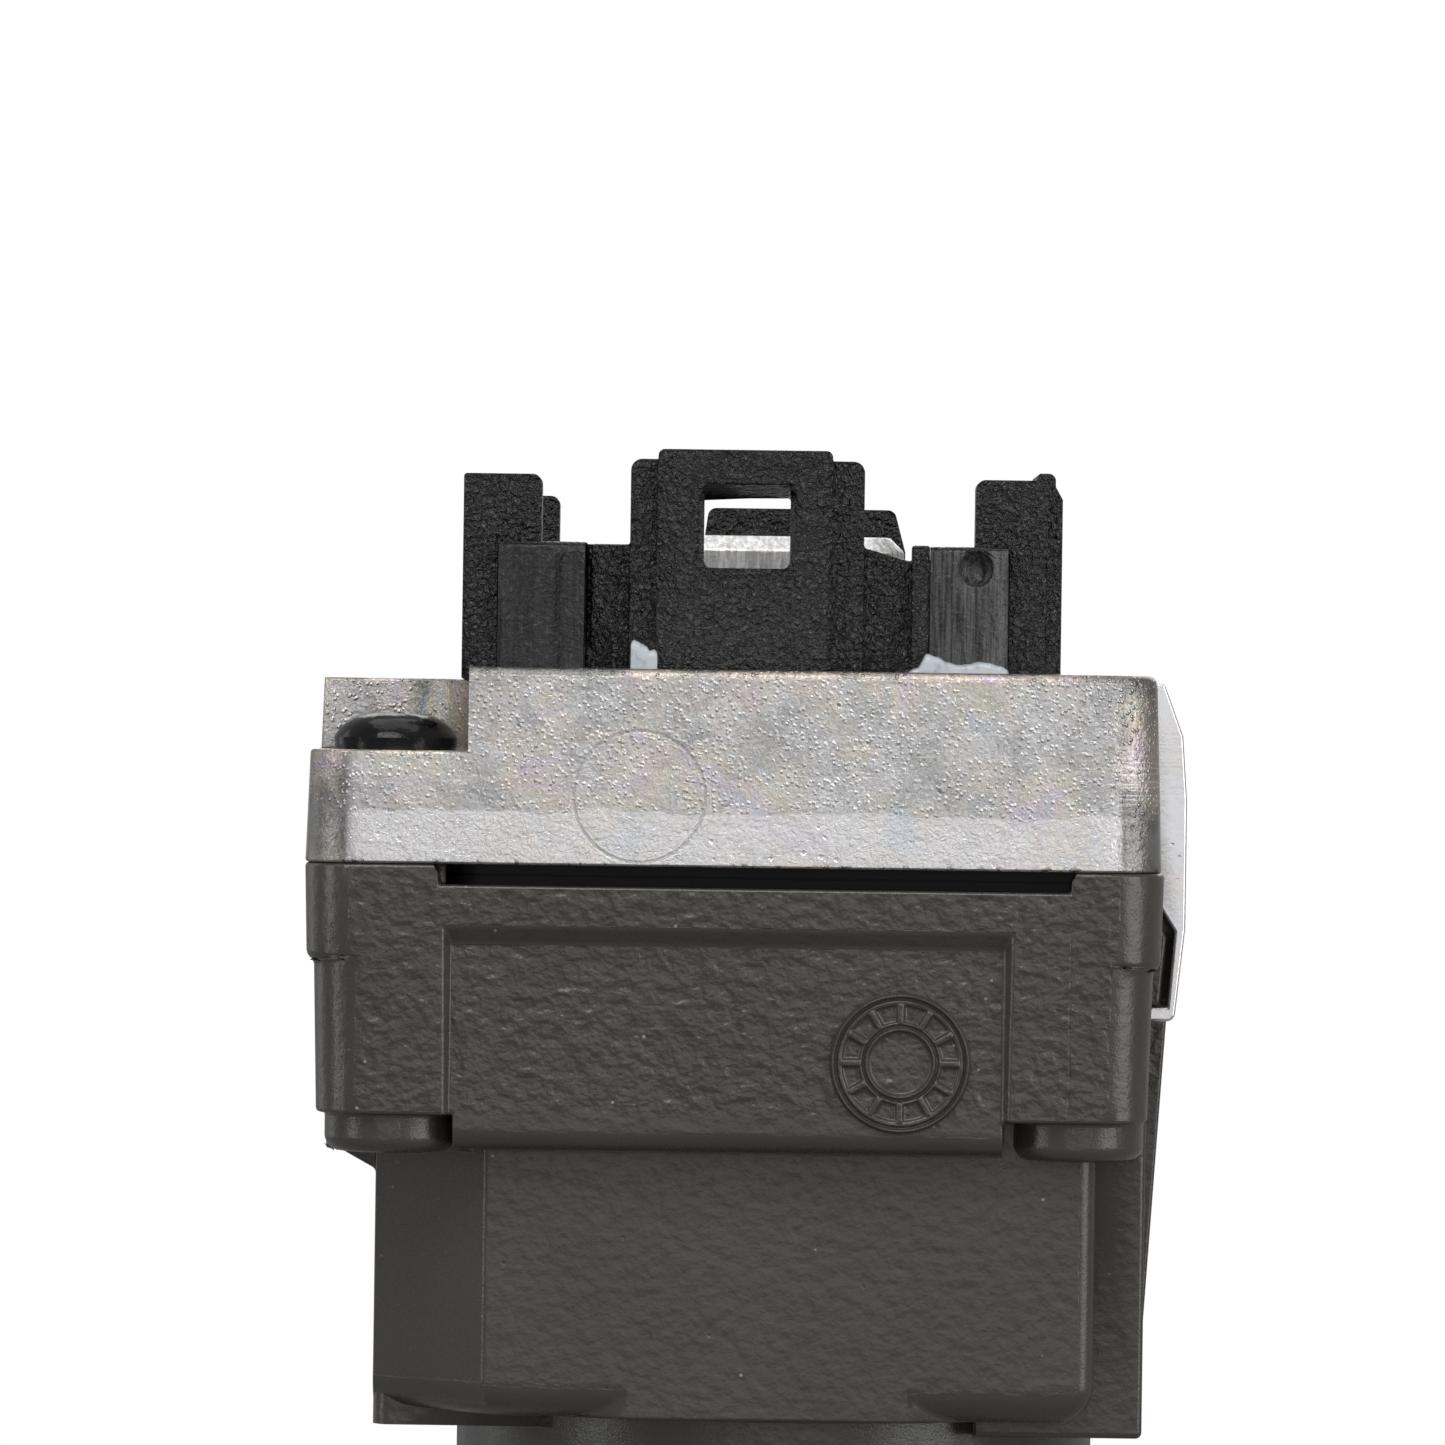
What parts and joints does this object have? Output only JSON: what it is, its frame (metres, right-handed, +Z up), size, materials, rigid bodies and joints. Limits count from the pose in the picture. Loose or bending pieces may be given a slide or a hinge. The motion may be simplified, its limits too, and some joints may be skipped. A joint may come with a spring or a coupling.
{
  "type": "electrode holder",
  "caption": "Machine-mounted electrode holder head: cast body and frame, guide cage around a live contact block, sprung spindle with collet chuck for a rod electrode.",
  "frame": {"origin": "middle of the four-hole bolt pattern on the rear face of the body", "axes": "+Z up along the electrode axis away from the electrode, +Y out of the rear face, -Y towards the pictured front, +X to the right of the pictured front"},
  "size_m": [0.0556, 0.052, 0.1059],
  "materials": {
    "paint": "die-cast aluminium, dark warm-grey powder coat with orange peel",
    "casting": "bare die-cast aluminium, mottled",
    "rubber": "smooth black rubber",
    "black_screw": "black oxide",
    "steel": "turned and ground",
    "cage_plastic": "black glass-filled plastic, spark-eroded texture",
    "compound": "white sealing compound",
    "block_metal": "bare cast aluminium",
    "copper_alloy": "turned copper alloy",
    "laminate": "glass-cloth laminate",
    "bronze": "bearing bronze",
    "chuck_steel": "black-oxide steel, ground edges"
  },
  "bodies": {
    "head": {"body_housing": "paint", "body_gasket": "rubber", "top_frame": "casting", "frame_screws": "black_screw", "frame_dowels": "steel", "guide_cage": "cage_plastic", "cage_screws": "steel", "sealing_bead": "compound", "contact_block": "block_metal", "contact_rod": "copper_alloy", "insulator": "laminate", "tab_screws": "steel", "guide_sleeve": "steel", "sleeve_screws": "steel", "upper_bush": "bronze", "lower_bush": "bronze", "wiper": "rubber", "spring_washer": "steel", "return_spring": "steel"},
    "plunger": {"spindle": "steel", "contact_ring": "copper_alloy", "stop_collar": "steel", "collar_ring": "steel", "guide_pin": "steel", "chuck_body": "chuck_steel"},
    "gripper": {"collet": "steel"},
    "nut": {"clamp_nut": "chuck_steel", "extractor_ring": "steel"}
  },
  "joints": [
    {"name": "spindle_slide", "type": "slide", "parent": "head", "child": "plunger", "axis": [0, 0, 1], "range_m": [0, 0.004], "stiffness_N_per_m": 2500, "springref_m": -0.006, "deforming": ["return_spring"]},
    {"name": "collet_slide", "type": "slide", "parent": "plunger", "child": "gripper", "axis": [0, 0, -1], "range_m": [0, 0.003]},
    {"name": "nut_turn", "type": "hinge", "parent": "gripper", "child": "nut", "pos_m": [0, -0.026, -0.052], "axis": [0, 0, -1], "range_deg": [0, 720]}
  ],
  "couplings": [
    {"joint": "nut_turn", "follows": "collet_slide", "rad_per_m": 4188.8}
  ]
}
